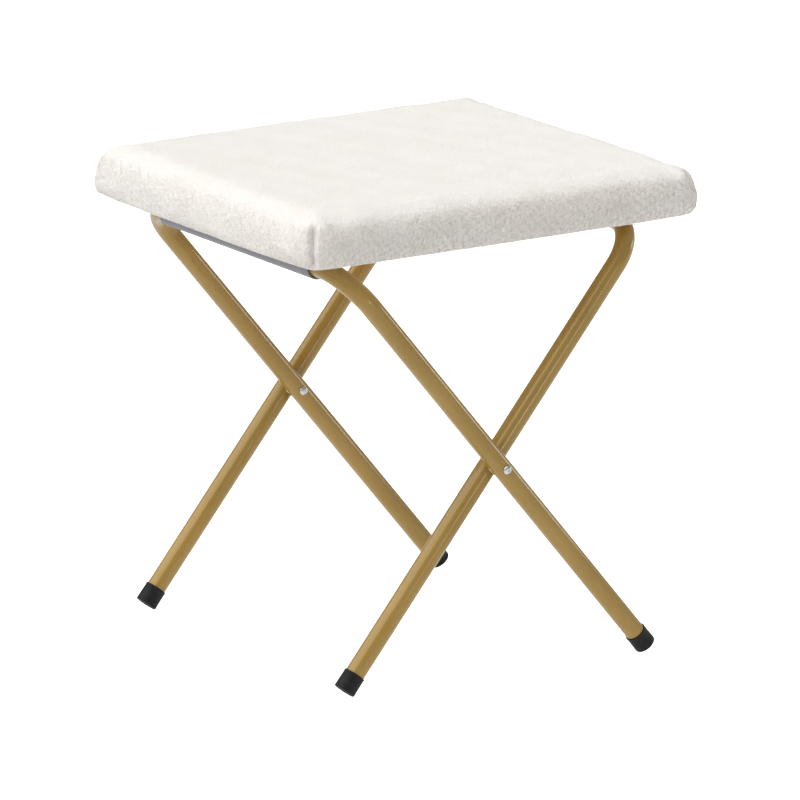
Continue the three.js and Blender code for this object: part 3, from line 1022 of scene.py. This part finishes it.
for name, material, share_of, seed, rise, curl in (
    ("fleece_pile_top", FLEECE_PILE, top_share, 11, 0.35 * MM, 0.25),
    ("fleece_pile_ends", FLEECE_PILE, end_share, 12, 0.3 * MM, 0.6),
    ("fleece_pile_long_sides", FLEECE_DEEP_SHADE, long_side_share, 13, 0.75 * MM, 0.9),
):
    fleece_pile(name, material, skin, skin_low, skin_high, STRANDS, share_of, seed, rise, curl)
pad_low, board_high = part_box("seat_board")
_, pad_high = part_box("foam_pad")
lining(skin, Vector(pad_low), Vector((board_high.x, board_high.y, pad_high.z)))
finish_piece(skin, "seat", "fleece", "fleece_cover")


def hem_staples():
    """Wire staples pressed into the hem all round, about every 42 mm."""
    wire, crown = 0.45 * MM, 10 * MM
    inset = 17 * MM
    z = seat_low.z + 0.15 * MM
    low, high = seat_low + Vector((inset, inset, 0)), seat_high - Vector((inset, inset, 0))
    places = []
    for y, turn in ((low.y, 0.0), (high.y, 0.0)):
        places += [(x, y, turn) for x in np.linspace(low.x + 30 * MM, high.x - 30 * MM, 9)]
    for x, turn in ((low.x, math.pi / 2), (high.x, math.pi / 2)):
        places += [(x, y, turn) for y in np.linspace(low.y + 30 * MM, high.y - 30 * MM, 8)]
    rng = np.random.default_rng(4)
    points, faces, sides = [], [], 10
    for x, y, turn in places:
        angle = turn + rng.normal(0, 0.12)
        along = Vector((math.cos(angle), math.sin(angle), 0))
        bend = 0.9 * MM
        path = [along * -crown / 2 + Vector((0, 0, 3 * MM))]
        for i in range(5):
            a = math.radians(90 * i / 4)
            out, down = bend * (1 - math.cos(a)), bend * (1 - math.sin(a))
            path.append(along * (-crown / 2 + out) + Vector((0, 0, down)))
        path += [Vector((-p.x, -p.y, p.z)) for p in path[::-1]]
        start = len(points)
        for i, p in enumerate(path):
            ahead = (path[min(i + 1, len(path) - 1)] - path[max(i - 1, 0)]).normalized()
            side = ahead.cross(along.cross(Vector((0, 0, 1)))).normalized()
            other = ahead.cross(side)
            for k in range(sides):
                a = 2 * math.pi * k / sides
                rim = side * wire * math.cos(a) + other * wire * math.sin(a)
                points.append(Vector((x, y, z + wire)) + p + rim)
        rows = len(path)
        faces += [tuple(start + i for i in f) for f in grid_faces(rows, sides)]
        faces.append(tuple(start + i for i in range(sides)))
        faces.append(tuple(start + (rows - 1) * sides + i for i in range(sides))[::-1])
    staples = mesh_piece("hem_staples", points, faces, SCREW_STEEL)
    return finish_piece(staples, "seat", "screw_steel")


hem_staples()

# ---------------------------------------------------------------- studio


FLOOR_REACH = 40
WORLD_LIGHT = 0.41
KEY_STRENGTH = 2.72
KEY_ANGLE = math.radians(85)
STRIP_DISTANCE = 2.6


def studio():
    """A white floor, soft light from above left, and two low strips that draw the tubes' highlights.

    The floor shines white to the camera alone. Other rays meet a pale floor that glows near the bench.
    """
    scene.view_settings.view_transform = "Standard"
    corners = [(x * FLOOR_REACH, y * FLOOR_REACH, 0) for x, y in ((-1, -1), (1, -1), (1, 1), (-1, 1))]
    floor = mesh_piece("floor", corners, [(0, 1, 2, 3)], None)
    n = Nodes("floor")
    seen = n.make("ShaderNodeLightPath").outputs["Is Camera Ray"]
    near = n.make("ShaderNodeVectorMath", operation="LENGTH")
    n.join(n.place, near.inputs[0])
    glow = n.spread(near.outputs["Value"], 0.25, 0.75, 0.42, 0.0)
    n.set(Base_Color=(0.75, 0.75, 0.75), Roughness=0.9, Specular_IOR_Level=0.0)
    n.set(Emission_Color=(1.0, 1.0, 1.0), Emission_Strength=n.sum(glow, seen))
    floor.data.materials.clear()
    floor.data.materials.append(n.material)
    world = bpy.data.worlds.new("studio")
    world.use_nodes = True
    world.node_tree.nodes["Background"].inputs["Color"].default_value = (1, 1, 1, 1)
    world.node_tree.nodes["Background"].inputs["Strength"].default_value = WORLD_LIGHT
    scene.world = world

    def light(name, kind, place, aim, power):
        data = bpy.data.lights.new(name, kind)
        data.energy = power
        lamp = bpy.data.objects.new(name, data)
        back = Vector(place) - Vector(aim)
        lamp.matrix_world = Matrix.Translation(place) @ back.to_track_quat("Z", "Y").to_matrix().to_4x4()
        scene.collection.objects.link(lamp)
        return data

    key = light("key", "SUN", (-1.4, 0.45, 2.4), (0, 0, 0), KEY_STRENGTH)
    key.angle = KEY_ANGLE

    middle = Vector((0, 0, 0.22))

    def strip(name, azimuth, elevation, size, power):
        az, el = math.radians(azimuth), math.radians(elevation)
        way = Vector((math.cos(az) * math.cos(el), math.sin(az) * math.cos(el), math.sin(el)))
        data = light(name, "AREA", middle + way * STRIP_DISTANCE, middle, power)
        data.shape = "RECTANGLE"
        data.size, data.size_y = size

    strip("front_strip", -84, 6, (0.5, 0.4), 2.4)
    strip("side_strip", -13, 8, (0.6, 0.4), 3.3)


studio()
